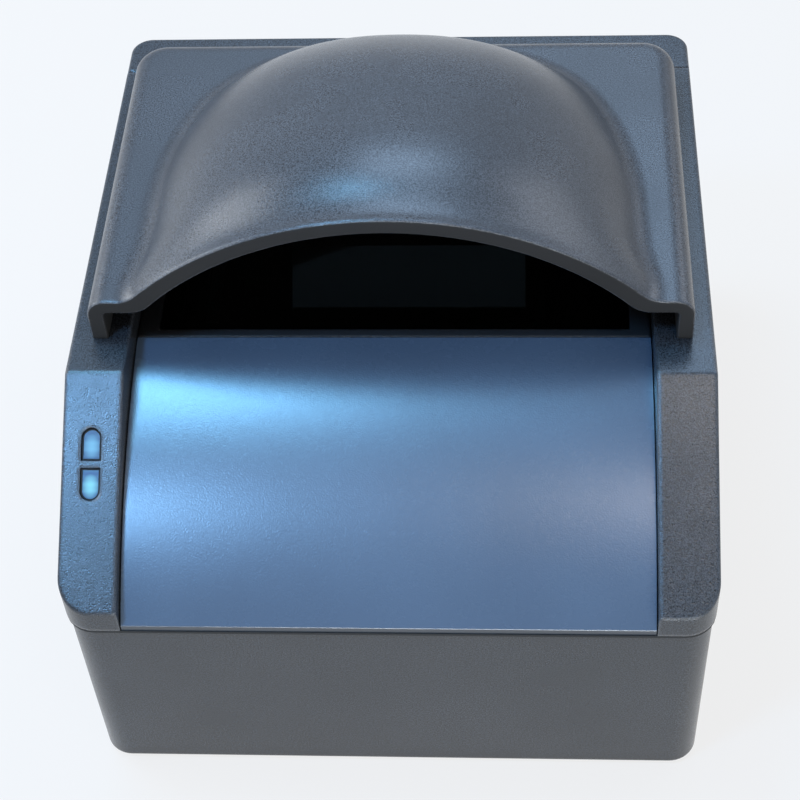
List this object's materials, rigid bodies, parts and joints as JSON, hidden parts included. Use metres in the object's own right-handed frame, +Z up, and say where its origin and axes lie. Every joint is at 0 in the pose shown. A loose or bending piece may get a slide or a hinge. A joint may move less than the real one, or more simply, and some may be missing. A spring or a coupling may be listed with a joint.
{
  "type": "passport reader",
  "caption": "Desktop full-page document reader: box housing with a curved rest plate between two sloping rails, a level glass window and an arched light hood that lifts off.",
  "frame": {"origin": "centre of the overall footprint, on the table under the feet", "axes": "+X to the user's right, +Y away from the user towards the sockets, +Z up"},
  "size_m": [0.178, 0.2, 0.1607],
  "materials": {
    "case": "fine texture",
    "hood": "fine texture",
    "plate": "glossy",
    "frame": "matte",
    "gasket": "matte",
    "window": "polished",
    "lens_upper": "glossy",
    "lens_lower": "glossy",
    "board": "solder resist",
    "lamp_board": "white solder resist",
    "led": "glossy",
    "foot": "matte",
    "inner_plastic": "matte",
    "mirror": "polished",
    "diffuser": "milky",
    "sheet": "satin",
    "chip": "matte",
    "heat_sink": "satin",
    "capacitor": "satin",
    "connector": "matte",
    "pin": "satin",
    "sensor": "polished",
    "barrel": "satin black",
    "lens_glass": "coated",
    "cable": "matte",
    "screw": "satin"
  },
  "bodies": {
    "reader": {"antenna_board": "board", "base_housing": "case", "board_connectors": "connector", "board_screws": "screw", "buzzer": "chip", "camera_board": "board", "camera_bracket": "sheet", "camera_cable": "cable", "camera_connector": "connector", "capacitors": "capacitor", "diffuser_left": "diffuser", "diffuser_right": "diffuser", "driver_board": "board", "driver_coils": "chip", "foot_front_left": "foot", "foot_front_right": "foot", "foot_rear_left": "foot", "foot_rear_right": "foot", "front_lens": "lens_glass", "glass_gasket": "gasket", "heat_sink": "heat_sink", "housing_screws": "screw", "image_sensor": "sensor", "indicator_board": "board", "indicator_leds": "led", "jack_pin": "pin", "lamp_board_left": "lamp_board", "lamp_board_right": "lamp_board", "lamp_leds_left": "led", "lamp_leds_right": "led", "lens_barrel": "barrel", "lens_holder": "inner_plastic", "lens_lower": "lens_lower", "lens_upper": "lens_upper", "light_box": "inner_plastic", "lock_ring": "barrel", "lug_screws": "screw", "main_board": "board", "mirror": "mirror", "mirror_holder": "inner_plastic", "power_jack": "chip", "processor": "chip", "radio_board": "board", "radio_shield": "sheet", "rear_cover": "case", "rear_screws": "screw", "rest_plate": "plate", "small_screws": "screw", "top_cover": "case", "usb_socket": "sheet", "uv_board": "lamp_board", "uv_leds": "led", "window_frame": "frame", "window_glass": "window"},
    "hood": {"hood": "hood"}
  },
  "joints": [
    {"name": "hood_lift", "type": "slide", "parent": "reader", "child": "hood", "axis": [0, 0, 1], "range_m": [0, 0.06]}
  ]
}
